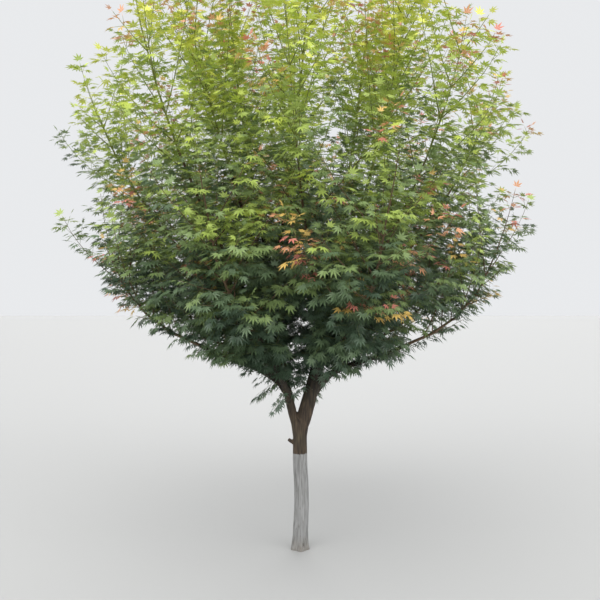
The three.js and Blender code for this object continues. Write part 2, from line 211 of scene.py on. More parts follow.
# Exposure, by which the greens are dealt out, is the height as a share of a rise and the way out
# from the trunk as a share of the crown's reach, each with its own weight. It stands for the
# leaves' age and also paints light and shade: lighter high and outside, darker low and inside
EXPOSURE = {"from": 1.15, "rise": 2.3, "narrowest": 0.3, "half_out": 0.4, "shares": (0.92, 0.22)}
TINT_NOISE = 0.14
# Painted light and shade: patches of sprays tinted lighter or darker, as if some caught the light
# and some lay in shadow
LIGHT_AND_SHADE_PATCHES = {"width": 0.26, "depth": 0.26}  # patches of lighter and darker sprays
# Shoots that end in the flush: from this exposure on, how many at exposures 0 and 1, how far from
# their tips, and a power that deals out more amber than salmon
FLUSHED = {"from": 0.24, "share": (0.06, 0.46), "reach": (0.06, 0.32), "more_amber": 1.4}
PIECE_TRIANGLES = 190000

# Trunk and limbs are closed tubes fused into one skin, which is cut at the ground
TRUNK_SKIN = {
    "below": 0.03, "rings": 112, "sides": 48, "limb_steps": 60, "limb_sides": 28,
    "limb_foot": (0.7, 0.88, 0.97),  # shares of the limb's first radii, inside the trunk
    "stub_steps": 4, "stub_sides": 16, "voxel": 0.0042, "smoothing": 4,
}
SMOOTHING = (0.5, -0.52)
# Lengthwise ridges, grain, and lumps where twigs once grew: waves for a metre, and their height
BARK_RELIEF = [
    {"across": 110, "along": 11, "shift": 0, "height": 0.0011},
    {"across": 210, "along": 42, "shift": 7, "height": 0.0005},
    {"across": 17, "along": 17, "shift": 0, "height": 0.0012},
]
BOUGH_SKIN = {
    "step": 0.008, "sides": 12,
    "opening": 0.5,  # how fast the foot widens inside its parent
    "knuckle": 0.05, "knuckle_every": 0.095, "knuckle_sharpness": 8,
    "across": 1.6, "along": 16, "finer": 2.3, "relief": (0.0007, 0.0005),
    "unlike": 3.7,  # moves each bough's relief on from the last one's
}
TWIG_SIDES = 5
SHOOT_SIDES = 3
THINNING = 1.5
# The way from which a tube's sides are counted, unless the tube runs along it
SLANT = (0.31, 0.22, 0.92)
SLANT_FAILS = 0.2

# Bark colours from the hollows to the ridges: brown on the trunk, greener where it has a film,
# darker above the fork as painted shade from the crown, and those of the old wood in twigs and
# the young wood in whips
BARK_STOPS = (0.30, 0.50, 0.72)
BARK = {
    "brown": ((0.13, 0.10, 0.075), (0.235, 0.19, 0.145), (0.335, 0.275, 0.215)),
    "filmed": ((0.13, 0.12, 0.08), (0.22, 0.21, 0.15), (0.31, 0.30, 0.21)),
    # painted shade: the bark of the limbs darkened for the crown's shade above the fork
    "dark": ((0.09, 0.077, 0.053), (0.162, 0.14, 0.10), (0.235, 0.205, 0.148)),
}
BARK_ROUGHNESS = 0.86
FILM = {"contrast": 2.4, "level": -1.15}
# Painted shade of the crown on the limbs: how fast it comes in
PAINTED_SHADE_RISE = 5.0  # for each metre above the fork
TWIG_STOPS = (0.32, 0.50, 0.68)
TWIG_BARK = {
    "twigs": ((0.29, 0.22, 0.15), (0.37, 0.29, 0.20), (0.47, 0.39, 0.30)),
    "whips": ((0.36, 0.39, 0.17), (0.44, 0.48, 0.21), (0.54, 0.56, 0.30)),
}
TWIG_ROUGHNESS = 0.68
YOUNG_WOOD_FROM = 2.15  # height
SHOOT_BARK = {"colour": (0.44, 0.47, 0.22), "roughness": 0.6}
COAT = {
    "top": 0.605, "ragged": 0.024, "sharpness": 260,
    "crack_contrast": 14.0, "crack_level": -4.6,
    "dirt_level": 0.85, "dirt_fade": -9.0,  # for each metre above the ground
    "stops": (0.33, 0.44, 0.56, 0.70),
    # the limewash's greys, darkened overall as painted shade from the crown
    "white": ((0.38, 0.38, 0.37), (0.475, 0.475, 0.47), (0.535, 0.535, 0.53), (0.585, 0.585, 0.58)),
    "soil": ((0.36, 0.32, 0.27), (0.50, 0.46, 0.40)),
}
# Patterns of noise: waves for a metre along each axis, and their detail
PATTERNS = {
    "streaks": ((95, 95, 9), 3.0),
    "film": ((9, 9, 5), 3.0),
    "coat": ((170, 170, 8), 5.0),
    "blotches": ((24, 24, 7), 3.0),
    "dirt": ((60, 60, 30), 3.0),
    "edge": ((70, 70, 20), 3.0),
    "cracks": ((150, 150, 10), 4.0),
    "grain": ((260, 260, 34), 5.0),
    "specks": ((420, 420, 150), 3.0),
}
BUMP = {"bark": (0.5, 0.002), "twigs": (0.35, 0.0008)}

UP = Vector((0, 0, 1))


def srgb(colour):
    """A colour given as sRGB shares, as the linear shares and alpha that shaders take."""
    linear = [c / 12.92 if c < 0.04045 else ((c + 0.055) / 1.055) ** 2.4 for c in colour]
    return (*linear, 1.0)


def lerp(a, b, share):
    return a + (b - a) * share


def smoothstep(value, low, high):
    share = min(max((value - low) / (high - low), 0.0), 1.0)
    return share * share * (3 - 2 * share)


def new_object(name, data):
    thing = bpy.data.objects.new(name, data)
    bpy.context.collection.objects.link(thing)
    return thing


# Camera, light and floor


def add_camera():
    data = bpy.data.cameras.new("camera")
    data.lens = CAMERA["lens"]
    data.sensor_width = CAMERA["sensor"]
    data.clip_end = CAMERA["sees"]
    data.dof.use_dof = False
    camera = new_object("camera", data)
    camera.location = CAMERA["place"]
    camera.rotation_euler = (math.pi / 2, 0, 0)
    bpy.context.scene.camera = camera


def add_soft_sun(name, azimuth, height, spread, strength):
    """A wide, even light from an azimuth and a height above the horizon."""
    data = bpy.data.lights.new(name, "SUN")
    data.angle = math.radians(spread)
    data.energy = strength
    light = new_object(name, data)
    light.rotation_euler = (-heading(azimuth, 90 - height)).to_track_quat("-Z", "Y").to_euler()


def add_daylight():
    world = bpy.data.worlds.new("studio")
    world.use_nodes = True
    background = world.node_tree.nodes["Background"]
    background.inputs["Color"].default_value = (*SKY["colour"], 1.0)
    background.inputs["Strength"].default_value = SKY["strength"]
    bpy.context.scene.world = world
    bpy.context.scene.view_settings.view_transform = "Standard"
    for name, sun in SUNS.items():
        add_soft_sun(name, **sun)


def add_floor():
    data = bpy.data.meshes.new("floor")
    far = FLOOR["reach"]
    corners = [(-far, -far, 0), (far, -far, 0), (far, far, 0), (-far, far, 0)]
    data.from_pydata(corners, [], [(0, 1, 2, 3)])
    data.materials.append(plain_material("floor", FLOOR["colour"], FLOOR["roughness"]))
    floor = new_object("floor", data)


# The source's rule, in metres


def seeded(seed):
    """Draws from 0 to 1, the same on every run, by the source's generator."""
    state = seed % DRAWS["modulus"]

    def draw():
        nonlocal state
        state = state * DRAWS["factor"] % DRAWS["modulus"]
        return state / DRAWS["modulus"]

    return draw


def around(rand, spread):
    return (2 * rand() - 1) * spread


def heading(azimuth, from_vertical):
    turn, fall = math.radians(azimuth), math.radians(from_vertical)
    level = math.sin(fall)
    return Vector((math.cos(turn) * level, math.sin(turn) * level, math.cos(fall)))


def point_along(points, share):
    place = share * (len(points) - 1)
    i = min(int(place), len(points) - 2)
    return points[i].lerp(points[i + 1], place - i)


def direction_along(points, share):
    i = min(int(share * (len(points) - 1)), len(points) - 2)
    return (points[i + 1] - points[i]).normalized()


def bezier(controls, share):
    a, b, c, d = controls
    rest = 1 - share
    return a * rest**3 + b * (3 * share * rest**2) + c * (3 * share**2 * rest) + d * share**3


def curve_points(controls, steps, end=1):
    """Points at even steps on a curve, from its foot to an end, which is a share of it."""
    return [bezier(controls, end * i / steps) for i in range(steps + 1)]


def arched_limb(name, foot, tip, azimuth, rule, steps):
    """A limb from foot to tip, which leaves and arrives as steeply as its rule says."""
    leave, arrive = heading(azimuth, rule["leave"]), heading(azimuth, rule["arrive"])
    span = (tip - foot).length
    controls = (foot, foot + leave * span * HANDLES[0], tip - arrive * span * HANDLES[1], tip)
    points = curve_points(controls, steps)
    return {"name": name, "controls": controls, "points": points, "radii": rule["radii"]}


def fork_limb(fork):
    foot, tip = Vector(fork["foot"]), Vector(fork["tip"])
    return arched_limb(fork["name"], foot, tip, fork["azimuth"], fork, FORK_STEPS)


def ring_bough(ring, k, forks, rand):
    azimuth = ring["turn"] + 360 * k / ring["count"] + around(rand, JITTER["azimuth"])
    reach = ring["reach"] * (1 + around(rand, JITTER["reach"]))
    height = ring["tip"] + around(rand, JITTER["tip"])
    parent = forks[0] if math.cos(math.radians(azimuth)) > MAIN_SIDE else forks[1]
    share = lerp(*ring["from"], (k * GOLDEN) % 1)
    foot = point_along(parent["points"], share)
    tip = heading(azimuth, 90) * reach
    tip.z = height
    bearing = math.degrees(math.atan2(tip.y - foot.y, tip.x - foot.x))
    limb = arched_limb(f"{ring['name']}_{k + 1}", foot, tip, bearing, ring, BOUGH_STEPS)
    limb["parent_radius"] = lerp(*parent["radii"], share)
    return limb


def grow_boughs():
    rand = seeded(SEED)
    forks = [fork_limb(fork) for fork in FORKS]
    rings = [ring_bough(ring, k, forks, rand) for ring in RINGS for k in range(ring["count"])]
    return forks + rings


def rising_shoot(start, direction, length, lift, steps):
    points = [start]
    for i in range(steps):
        along = direction.lerp(UP, lift * i / steps).normalized()
        points.append(points[-1] + along * (length / steps))
    return points


def kind_of(bough):
    return bough["name"].split("_")[0] if "_" in bough["name"] else "fork"


def stem_of(bough, rule, rand):
    direction = direction_along(bough["points"], 1)
    start = bough["points"][-1] + direction * CLEAR
    length = rule["length"] * (1 + around(rand, JITTER["length"]))
    return rising_shoot(start, direction, length, rule["lift"], STEM["steps"])


def side_direction(along, spread, turn):
    """The way out from a shoot at an angle from it, turned round it from the level."""
    spread, turn = math.radians(spread), math.radians(turn)
    level = along.cross(UP).normalized()
    raised = level.cross(along)
    side = level * math.cos(turn) + raised * math.sin(turn)
    return along * math.cos(spread) + side * math.sin(spread)


def pair_turn(pair, side, loose, rand):
    """How far one shoot of a pair is turned; each pair stands across the last."""
    return 90 * (pair % 2) + side + around(rand, loose)


def twigs_of(stem, rule, rand):
    twigs = []
    for pair in range(rule["pairs"]):
        along_stem = pair / (rule["pairs"] - 1)
        share = lerp(STEM["first_pair"], STEM["last_pair"], along_stem)
        for side in (0, 180):
            spread = rule["spread"] + around(rand, TWIG["angle"])
            turn = 90 * pair + side + around(rand, TWIG["turn"])
            shorter = 1 - TWIG["taper"] * along_stem
            length = rule["twig"] * shorter * (1 + around(rand, TWIG["length"]))
            direction = side_direction(direction_along(stem, share), spread, turn)
            direction = direction.lerp(UP, TWIG["lift"]).normalized()
            twigs.append((point_along(stem, share), direction, length))
    return twigs


def crown_reach(height):
    below = height < CROWN["widest"]
    foot, top, widest = CROWN["foot"], CROWN["top"], CROWN["widest"]
    share = (widest - height) / (widest - foot) if below else (height - widest) / (top - widest)
    if share >= 1:
        return 0.0
    return CROWN["radius"] * math.sqrt(1 - share ** CROWN["roundness"][0 if below else 1])


def in_crown(point, margin=EDGE):
    inside = math.hypot(point.x, point.y) < crown_reach(point.z) - margin
    return inside and point.x < SIDE_LIMIT and point.z < TOP_LIMIT


# Finer growth


def hollow(point):
    """How much farther inside the outline a shoot has to end at a place."""
    patch = noise.noise(point / HOLLOW["width"] + HOLLOW["shift"] * UP)
    return HOLLOW["depth"] * max(patch, 0)


def twigs_between(stem, rule, rand):
    """Shorter pairs of twigs, half-way between the source's and turned half-way too."""
    twigs = []
    for pair in range(rule["pairs"] - 1):
        along_stem = (pair + 0.5) / (rule["pairs"] - 1)
        share = lerp(STEM["first_pair"], STEM["last_pair"], along_stem)
        for side in (0, 180):
            turn = 90 * pair + BETWEEN["turn"] + side + around(rand, TWIG["turn"])
            spread = rule["spread"] + around(rand, TWIG["angle"])
            direction = side_direction(direction_along(stem, share), spread, turn)
            length = rule["twig"] * BETWEEN["length"] * (1 - TWIG["taper"] * along_stem)
            direction = direction.lerp(UP, TWIG["lift"]).normalized()
            twigs.append((point_along(stem, share), direction, length))
    return twigs


def fitted_twig(start, direction, length):
    for fit in TWIG_FITS:
        points = rising_shoot(start, direction, length * fit, TWIG["lift"], TWIG["steps"])
        if all(in_crown(point) for point in points):
            return points
    return None


def with_whip(points, length, rand):
    """The shoot carried on as a whip that bends up, some to the crown's edge and some short."""
    margin = EDGE + WHIP["short"] * rand() ** 2
    bend = Vector((around(rand, WHIP["bend"]), around(rand, WHIP["bend"]), 0))
    direction = (direction_along(points, 1) + bend).normalized()
    for fit in WHIP_FITS:
        whip = rising_shoot(points[-1], direction, length * fit, WHIP["lift"], WHIP["steps"])
        if all(in_crown(point, margin + hollow(point)) for point in whip):
            return points + whip[1:]
    return points


def path_length(points):
    return sum((b - a).length for a, b in zip(points, points[1:]))


def place_on(points, distance):
    """The point and the direction at a distance along a line of points."""
    for a, b in zip(points, points[1:]):
        step = (b - a).length
        if distance <= step:
            return a.lerp(b, distance / step), (b - a) / step
        distance -= step
    return points[-1].copy(), (points[-1] - points[-2]).normalized()


def exposure(point):
    """From 0 deep inside the crown to 1 at its top and outer shoots. The greens it deals out stand
    for the leaves' age and also paint light at the top and shade inside.
    """
    height = (point.z - EXPOSURE["from"]) / EXPOSURE["rise"]
    outward = math.hypot(point.x, point.y) / max(crown_reach(point.z), EXPOSURE["narrowest"])
    by_height, by_reach = EXPOSURE["shares"]
    return by_height * height + by_reach * (outward - EXPOSURE["half_out"])


def tint_at(point, rand, flushed):
    if flushed:
        shade = int(rand() ** FLUSHED["more_amber"] * len(FLUSH))
        return len(GREENS) + min(shade, len(FLUSH) - 1)
    # painted light and shade: lighter and darker patches of sprays, on top of the exposure's
    # painted light and shade
    painted_patch = LIGHT_AND_SHADE_PATCHES["depth"] * noise.noise(point / LIGHT_AND_SHADE_PATCHES["width"])
    level = exposure(point) + painted_patch + around(rand, TINT_NOISE)
    return min(max(int(level * len(GREENS)), 0), len(GREENS) - 1)


class Growth:
    """Collects the shoots and the leaf places of the whole crown."""

    def __init__(self):
        self.stems = []
        self.sprays = []
        self.leaves = []

    def add_leaf(self, root, along, tint, size, rand):
        """Adds a row: root, way to the tip, lean of the face, size and tint."""
        lean = (around(rand, LEAF["lean"]), around(rand, LEAF["lean"]))
        self.leaves.append((*root, *along, *lean, size, tint))

    def add_leaf_pairs(self, points, first, tint, rand):
        """Opposite leaves along a shoot, and one at its end."""
        length = path_length(points)
        distance = first
        while distance < length:
            place, along = place_on(points, distance)
            for side in (0, 180):
                turn = side + around(rand, LEAF_PAIRS["turn"])
                out = side_direction(along, LEAF_PAIRS["spread"], turn)
                self.add_leaf(place, out, tint, leaf_size(place, rand), rand)
            distance += LEAF_PAIRS["spacing"] * (1 + around(rand, LEAF_PAIRS["uneven"]))
        place, along = place_on(points, length)
        self.add_leaf(place, along, tint, leaf_size(place, rand), rand)

    def add_spray(self, start, direction, length, flushed, rand, margin=EDGE):
        """A side shoot with its leaves, all of one tint."""
        points = [start, start + direction * length]
        if not in_crown(points[-1], margin + hollow(points[-1])):
            return
        self.sprays.append(points)
        tint = tint_at(points[-1], rand, flushed)
        self.add_leaf_pairs(points, LEAF_PAIRS["first"], tint, rand)

    def add_sprays(self, points, rand, flush_from):
        """Opposite sprays along a shoot, each pair a quarter turn on, shorter to its tip."""
        total = path_length(points)
        distance = SPRAY["first"]
        pair = 0
        while distance < total - SPRAY["last"]:
            place, along = place_on(points, distance)
            high = smoothstep(place.z, *SPRAY["heights"])
            room = lerp(*SPRAY["length"], high) * (1 - SPRAY["taper"] * distance / total)
            for side in (0, 180):
                length = max(room * (1 + around(rand, SPRAY["jitter"])), SPRAY["shortest"])
                turn = pair_turn(pair, side, SPRAY["turn"], rand)
                direction = side_direction(along, SPRAY["spread"], turn)
                direction = (direction - SPRAY["droop"] * UP).normalized()
                self.add_spray(place, direction, length, distance > flush_from, rand)
            distance += lerp(*SPRAY["spacing"], high) * (1 + around(rand, SPRAY["uneven"]))
            pair += 1
        tint = tint_at(points[-1], rand, flush_from < total)
        self.add_leaf_pairs(points, total - LEAF_PAIRS["last"], tint, rand)

    def add_stem(self, points, radii, rand):
        total = path_length(points)
        high = exposure(points[-1])
        draw, reach = rand(), rand()
        flushes = high > FLUSHED["from"] and draw < lerp(*FLUSHED["share"], min(high, 1))
        flush_from = total - lerp(*FLUSHED["reach"], reach) if flushes else total + 1
        self.stems.append((points, radii))
        self.add_sprays(points, rand, flush_from)


def leaf_size(point, rand):
    share = min(max(point.z / CROWN["top"], 0), 1)
    return lerp(*LEAF["size"], share) * (1 + around(rand, LEAF["jitter"]))


def grow_mass(growth, bough, stem, rule, index):
    rand = seeded(SEED + SEED_STEP * (index + 1))
    twigs = twigs_of(stem, rule, rand)
    fine = seeded(SEED + FINE_SEEDS["whips"] * (index + 1))
    twigs += twigs_between(stem, rule, fine)
    long_stem = with_whip(stem, WHIP["stem"], fine)
    growth.add_stem(long_stem, (bough["radii"][1], TWIG_RADII[1]), fine)
    for start, direction, length in twigs:
        points = fitted_twig(start, direction, length)
        if points:
            points = with_whip(points, WHIP["twig"], fine)
            growth.add_stem(points, TWIG_RADII, fine)


def grow_bough_sprays(growth, bough, index):
    """Short leafy shoots on the outer part of a bough."""
    rand = seeded(SEED + FINE_SEEDS["sprays"] + SEED_STEP * index)
    points = curve_points(bough["controls"], BOUGH_SPRAYS["steps"])
    total = path_length(points)
    distance = total * BOUGH_SPRAYS["from"]
    pair = 0
    while distance < total:
        place, along = place_on(points, distance)
        for side in (0, 180):
            turn = pair_turn(pair, side, BOUGH_SPRAYS["turn"], rand)
            direction = side_direction(along, BOUGH_SPRAYS["spread"], turn)
            length = BOUGH_SPRAYS["length"] * (1 + around(rand, BOUGH_SPRAYS["jitter"]))
            growth.add_spray(place, direction, length, False, rand)
        distance += BOUGH_SPRAYS["spacing"] * (1 + around(rand, BOUGH_SPRAYS["uneven"]))
        pair += 1


def grow_fork_shoots(growth, bough, index):
    """A few short shoots that hang from the foot of a bough, just below the crown."""
    rand = seeded(SEED + FINE_SEEDS["fork_shoots"] + SEED_STEP * index)
    for share in FORK_SHOOTS["shares"]:
        place = bezier(bough["controls"], share)
        along = direction_along(bough["points"], share)
        direction = side_direction(along, FORK_SHOOTS["spread"], 360 * rand())
        direction = (direction - UP * FORK_SHOOTS["droop"]).normalized()
        length = FORK_SHOOTS["length"] * (1 + around(rand, FORK_SHOOTS["jitter"]))
        growth.add_spray(place, direction, length, False, rand, -FORK_SHOOTS["outside"])


def grow_bough_twigs(growth, bough, index):
    """Pairs of whole twigs on the upper part of a bough, inside the crown."""
    rand = seeded(SEED + FINE_SEEDS["twigs"] + SEED_STEP * index)
    rule = BOUGH_TWIGS[kind_of(bough)]
    for pair, share in enumerate(rule["shares"]):
        place = bezier(bough["controls"], share)
        along = direction_along(bough["points"], share)
        for side in (0, 180):
            turn = pair_turn(pair, side, BOUGH_TWIG["turn"], rand)
            direction = side_direction(along, BOUGH_TWIG["spread"], turn)
            direction = direction.lerp(UP, TWIG["lift"]).normalized()
            length = rule["length"] * (1 + around(rand, BOUGH_TWIG["jitter"]))
            points = fitted_twig(place, direction, length)
            if points:
                growth.add_stem(points, TWIG_RADII, rand)


def grow_crown(boughs):
    rand = seeded(SEED + 1)
    growth = Growth()
    stems = [stem_of(bough, FOLIAGE[kind_of(bough)], rand) for bough in boughs]
    for index, (bough, stem) in enumerate(zip(boughs, stems)):
        grow_mass(growth, bough, stem, FOLIAGE[kind_of(bough)], index)
        grow_bough_sprays(growth, bough, index)
        grow_bough_twigs(growth, bough, index)
        if kind_of(bough) in ("low", "inner"):
            grow_fork_shoots(growth, bough, index)
    return growth


# Meshes from arrays


def mesh_object(name, vertices, faces, smooth=False):
    data = bpy.data.meshes.new(name)
    data.vertices.add(len(vertices))
    data.vertices.foreach_set("co", np.asarray(vertices, np.float32).ravel())
    faces = np.asarray(faces, np.int32)
    count, sides = faces.shape
    data.loops.add(count * sides)
    data.loops.foreach_set("vertex_index", faces.ravel())
    data.polygons.add(count)
    data.polygons.foreach_set("loop_start", np.arange(count, dtype=np.int32) * sides)
    data.update(calc_edges=True)
    data.validate()
    data.polygons.foreach_set("use_smooth", np.full(len(data.polygons), smooth))
    return new_object(name, data)


def tube_arrays(points, radii, sides):
    """Rings round a line of points, and the quads between them; the ends stay open."""
    points = np.array([tuple(p) for p in points])
    along = np.gradient(points, axis=0)
    along /= np.linalg.norm(along, axis=1)[:, None]
    across = np.cross(along, SLANT)
    weak = np.linalg.norm(across, axis=1) < SLANT_FAILS
    across[weak] = np.cross(along[weak], (1.0, 0.0, 0.0))
    across /= np.linalg.norm(across, axis=1)[:, None]
    other = np.cross(along, across)
    angles = np.arange(sides) * 2 * math.pi / sides
    reach = np.broadcast_to(np.asarray(radii, float).reshape(len(points), -1), (len(points), sides))
    rings = (
        points[:, None, :]
        + across[:, None, :] * (reach * np.cos(angles))[:, :, None]
        + other[:, None, :] * (reach * np.sin(angles))[:, :, None]
    )
    low = np.arange(len(points) - 1)[:, None] * sides + np.arange(sides)
    turned = np.arange(len(points) - 1)[:, None] * sides + (np.arange(sides) + 1) % sides
    quads = np.stack([low, turned, turned + sides, low + sides], axis=-1).reshape(-1, 4)
    return rings.reshape(-1, 3), quads


def joined_tubes(name, tubes):
    vertices, faces, offset = [], [], 0
    for ring_points, quads in tubes:
        vertices.append(ring_points)
        faces.append(quads + offset)
        offset += len(ring_points)
    return mesh_object(name, np.concatenate(vertices), np.concatenate(faces), smooth=True)


# Leaves


def leaf_template(lobes):
    """Points of a leaf, +X to its middle tip, and its triangles: a petiole, then folded lobes."""
    foot, width = LEAF["petiole"], LEAF["petiole_width"]
    belly = LEAF["belly"]
    turn = math.degrees(math.atan2(LEAF["half_width"], belly))
    points = [(foot, 0.0, 0.0), (0.0, -width, 0.0), (0.0, width, 0.0)]
    faces = [(1, 0, 2)]
    for angle, length in [(-a, b) for a, b in lobes[1:]] + list(lobes):
        place = len(points)
        points.append(polar(foot, angle - turn, belly * length, LEAF["fold"]))
        points.append(polar(foot, angle, length, 0.0))
        points.append(polar(foot, angle + turn, belly * length, LEAF["fold"]))
        faces += [(0, place, place + 1), (0, place + 1, place + 2)]
    return np.array(points), np.array(faces)


def polar(foot, angle, length, lift):
    turn = math.radians(angle)
    return (foot + length * math.cos(turn), length * math.sin(turn), lift * length)


def unit(rows):
    return rows / np.linalg.norm(rows, axis=1)[:, None]


def leaf_frames(leaves):
    """Each leaf's root and axes: along to its tip, across, and its face, up and out."""
    root, along = leaves[:, 0:3], leaves[:, 3:6]
    low = np.clip((CROWN["widest"] - root[:, 2]) / HANG["depth"], 0, 1)
    along = unit(along - np.outer(lerp(*HANG["droop"], low), UP))
    out = unit(root * (1, 1, 0) + 1e-6)
    face = np.array(UP) + out * lerp(*HANG["lean"], low)[:, None]
    face[:, 0:2] += leaves[:, 6:8]
    across = unit(np.cross(face, along))
    normal = np.cross(along, across)
    return root, along, across, normal


def leaf_mesh(name, leaves, kind):
    template, faces = leaf_template(LEAF_KINDS[kind])
    root, along, across, normal = leaf_frames(leaves)
    size = leaves[:, 8][:, None, None]
    x, y, z = template.T
    far = np.hypot(np.maximum(x - LEAF["petiole"], 0), y)
    vertices = root[:, None, :] + size * (
        x[:, None] * along[:, None, :]
        + y[:, None] * across[:, None, :]
        + z[:, None] * normal[:, None, :]
        - (LEAF["curl"] * far**2)[:, None] * np.array(UP)
    )
    offsets = np.arange(len(leaves))[:, None, None] * len(template)
    all_faces = (faces[None, :, :] + offsets).reshape(-1, 3)
    return mesh_object(name, vertices.reshape(-1, 3), all_faces)


def add_leaves(growth, nodes):
    leaves = np.array(growth.leaves)
    tints = GREENS + FLUSH
    for tint, (name, colour) in enumerate(tints):
        chosen = leaves[leaves[:, 9] == tint]
        if not len(chosen):
            continue
        kind = "young" if tint >= len(GREENS) else "full"
        per_leaf = len(leaf_template(LEAF_KINDS[kind])[1])
        parts = -(-len(chosen) * per_leaf // PIECE_TRIANGLES)
        material = plain_material(f"leaf_{name}", colour, LEAF["roughness"])
        for part, some in enumerate(np.array_split(chosen, parts)):
            piece = leaf_mesh(f"leaves_{name}_{part + 1}", some, kind)
            finish_piece(piece, material, nodes)


# Twigs


def thinning(points, radii):
    """Radii along a shoot that thins fast at first and then slowly."""
    thick, thin = radii
    return thin + (thick - thin) * np.linspace(1, 0, len(points)) ** THINNING


def split_by_age(points, radii):
    """The old, lower part of a shoot and its young, upper part; either may be too short."""
    cut = next((i for i, point in enumerate(points) if point.z > YOUNG_WOOD_FROM), len(points))
    return (points[: cut + 1], radii[: cut + 1]), (points[cut:], radii[cut:])


def add_twigs(growth, nodes):
    tubes = {"twigs": [], "whips": []}
    for points, radii in growth.stems:
        for kind, part in zip(tubes, split_by_age(points, thinning(points, radii))):
            if len(part[0]) > 1:
                tubes[kind].append(tube_arrays(*part, TWIG_SIDES))
    for kind, joined in tubes.items():
        material = twig_material(f"{kind}_bark", TWIG_BARK[kind])
        finish_piece(joined_tubes(kind, joined), material, nodes)
    shoots = [
        tube_arrays(points, thinning(points, SPRAY["radii"]), SHOOT_SIDES)
        for points in growth.sprays
    ]
    material = plain_material("shoot_bark", SHOOT_BARK["colour"], SHOOT_BARK["roughness"])
    finish_piece(joined_tubes("shoots", shoots), material, nodes)


# Bark


def trunk_rings():
    bow, end = TRUNK["bow"]
    sides = TRUNK_SKIN["sides"]
    rings = []
    for height in np.linspace(-TRUNK_SKIN["below"], FORK_HEIGHT, TRUNK_SKIN["rings"]):
        above = max(height, 0)
        foot = TRUNK["flare"] * math.exp(-above / TRUNK["flare_fade"])
        swell = 1 + TRUNK["swell_share"] * smoothstep(height, TRUNK["swell_from"], FORK_HEIGHT)
        drift = bow * math.sin(math.pi * above / end) ** 2 if above < end else 0
        angles = np.arange(sides) * 2 * math.pi / sides
        ridge = 1 + TRUNK["flute_depth"] * np.cos(TRUNK["flutes"] * angles + 1)
        radius = lerp(TRUNK["radius_low"], TRUNK["radius_high"], above / FORK_HEIGHT)
        dome = max(height - FORK_HEIGHT + TRUNK["dome"], 0) / TRUNK["dome"]
        radius = (radius + foot * ridge) * math.sqrt(1 - TRUNK["dome_share"] * dome**2)
        x = drift + radius * swell * np.cos(angles)
        y = radius * np.sin(angles)
        rings.append(np.stack([x, y, np.full(sides, height)], axis=1))
    return rings


def closed_rings(name, rings):
    """A closed mesh skinned over rings of equal counts."""
    sides = len(rings[0])
    mesh = bmesh.new()
    rows = [[mesh.verts.new(tuple(point)) for point in ring] for ring in rings]
    for low, high in zip(rows, rows[1:]):
        for s in range(sides):
            turned = (s + 1) % sides
            mesh.faces.new((low[s], low[turned], high[turned], high[s]))
    mesh.faces.new(list(reversed(rows[0])))
    mesh.faces.new(rows[-1])
    data = bpy.data.meshes.new(name)
    mesh.to_mesh(data)
    mesh.free()
    return new_object(name, data)


def closed_tube(name, points, radii, sides):
    vertices, _ = tube_arrays(points, radii, sides)
    return closed_rings(name, vertices.reshape(len(points), sides, 3))


def fused(name, pieces, voxel):
    """The pieces as one skin, by a voxel remesh."""
    bpy.ops.object.select_all(action="DESELECT")
    for piece in pieces:
        piece.select_set(True)
    whole = pieces[0]
    bpy.context.view_layer.objects.active = whole
    bpy.ops.object.join()
    whole.name = name
    remesh = whole.modifiers.new("skin", "REMESH")
    remesh.mode = "VOXEL"
    remesh.voxel_size = voxel
    bpy.ops.object.modifier_apply(modifier=remesh.name)
    whole.select_set(False)
    return whole


def reached_from(start, left):
    """The vertices joined to a start vertex, taken out of those left."""
    part, edge_of_part = [], [start]
    while edge_of_part:
        vertex = edge_of_part.pop()
        part.append(vertex)
        for edge in vertex.link_edges:
            other = edge.other_vert(vertex)
            if other in left:
                left.discard(other)
                edge_of_part.append(other)
    return part


def keep_largest_part(piece):
    """Removes the closed specks that a remesh can leave inside the skin."""
    mesh = bmesh.new()
    mesh.from_mesh(piece.data)
    left = set(mesh.verts)
    parts = []
    while left:
        parts.append(reached_from(left.pop(), left))
    parts.sort(key=len)
    for part in parts[:-1]:
        bmesh.ops.delete(mesh, geom=part, context="VERTS")
    mesh.to_mesh(piece.data)
    mesh.free()


def smooth_out(piece, rounds):
    """Rounds of smoothing that shrink and swell in turn, so nothing gets thinner."""
    data = piece.data
    points = np.empty(len(data.vertices) * 3)
    data.vertices.foreach_get("co", points)
    points = points.reshape(-1, 3)
    edges = np.empty(len(data.edges) * 2, np.int32)
    data.edges.foreach_get("vertices", edges)
    a, b = edges.reshape(-1, 2).T
    count = np.bincount(a, minlength=len(points)) + np.bincount(b, minlength=len(points))
    for i in range(2 * rounds):
        total = np.zeros_like(points)
        np.add.at(total, a, points[b])
        np.add.at(total, b, points[a])
        points += SMOOTHING[i % 2] * (total / count[:, None] - points)
    data.vertices.foreach_set("co", points.ravel())
    data.update()


def bark_height(point):
    """How far the bark stands proud at a place."""
    height = 0
    for layer in BARK_RELIEF:
        across = layer["across"]
        along = point.z * layer["along"] + layer["shift"]
        height += layer["height"] * noise.noise(Vector((point.x * across, point.y * across, along)))
    return height


def raise_bark(piece):
    data = piece.data
    places = [vertex.co + vertex.normal * bark_height(vertex.co) for vertex in data.vertices]
    data.vertices.foreach_set("co", np.array([tuple(place) for place in places]).ravel())
    data.update()


def cut_at_ground(piece):
    mesh = bmesh.new()
    mesh.from_mesh(piece.data)
    geometry = mesh.verts[:] + mesh.edges[:] + mesh.faces[:]
    cut = bmesh.ops.bisect_plane(
        mesh, geom=geometry, plane_co=(0, 0, 0), plane_no=(0, 0, 1), clear_inner=True
    )
    rim = [item for item in cut["geom_cut"] if isinstance(item, bmesh.types.BMEdge)]
    bmesh.ops.edgeloop_fill(mesh, edges=rim)
    for vertex in mesh.verts:
        vertex.co.z = max(vertex.co.z, 0)
    mesh.to_mesh(piece.data)
    mesh.free()


def fine_limb(limb, steps):
    return curve_points(limb["controls"], steps), np.linspace(*limb["radii"], steps + 1)


